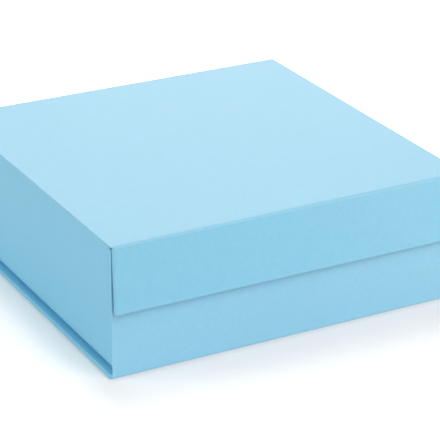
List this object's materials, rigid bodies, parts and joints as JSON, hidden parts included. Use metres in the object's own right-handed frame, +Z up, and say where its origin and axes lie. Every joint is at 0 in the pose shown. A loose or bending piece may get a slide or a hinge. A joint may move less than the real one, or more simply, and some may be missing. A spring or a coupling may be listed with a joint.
{
  "type": "magnetic gift box",
  "caption": "Square rigid gift box of paper-wrapped board, with a lid on a paper hinge and a front flap that closes with hidden magnets.",
  "frame": {"origin": "middle of the closed box's footprint, on the surface it stands on", "axes": "+Z up, -Y towards the front flap, +X to the right seen from the front, along the hinges"},
  "size_m": [0.224, 0.2244, 0.08],
  "materials": {
    "wrap_paper": "smooth matte coated art paper, pale sky blue",
    "lining_paper": "smooth matte art paper, the same pale sky blue",
    "greyboard": "raw grey board with flecks of fibre",
    "tab_card": "thin card covered in the blue paper",
    "tape": "translucent double-sided adhesive tape",
    "magnet": "nickel-plated",
    "keeper_steel": "bare sheet steel"
  },
  "bodies": {
    "tray": {"base_board": "greyboard", "front_board": "greyboard", "back_board": "greyboard", "left_side_board": "greyboard", "right_side_board": "greyboard", "base_wrap": "wrap_paper", "front_wrap": "wrap_paper", "back_wrap": "wrap_paper", "left_side_wrap": "wrap_paper", "right_side_wrap": "wrap_paper", "left_side_fold": "wrap_paper", "right_side_fold": "wrap_paper", "base_liner": "lining_paper", "front_liner": "lining_paper", "back_liner": "lining_paper", "left_side_liner": "lining_paper", "right_side_liner": "lining_paper", "left_keeper_disc": "keeper_steel", "right_keeper_disc": "keeper_steel", "left_corner_tab": "tab_card", "right_corner_tab": "tab_card", "left_tab_tape": "tape", "right_tab_tape": "tape", "lid_hinge_wrap": "wrap_paper", "lid_hinge_liner": "lining_paper"},
    "lid": {"lid_board": "greyboard", "lid_wrap": "wrap_paper", "lid_liner": "lining_paper", "flap_hinge_wrap": "wrap_paper", "flap_hinge_liner": "lining_paper"},
    "flap": {"flap_board": "greyboard", "flap_wrap": "wrap_paper", "flap_liner": "lining_paper", "left_flap_magnet": "magnet", "right_flap_magnet": "magnet"}
  },
  "joints": [
    {"name": "lid_hinge", "type": "hinge", "parent": "tray", "child": "lid", "pos_m": [0, 0.11018, 0.078], "axis": [-1, 0, 0], "range_deg": [0, 180], "deforming": ["lid_hinge_wrap", "lid_hinge_liner"]},
    {"name": "flap_hinge", "type": "hinge", "parent": "lid", "child": "flap", "pos_m": [0, -0.10987, 0.07974], "axis": [-1, 0, 0], "range_deg": [-3, 180], "deforming": ["flap_hinge_wrap", "flap_hinge_liner"]}
  ]
}
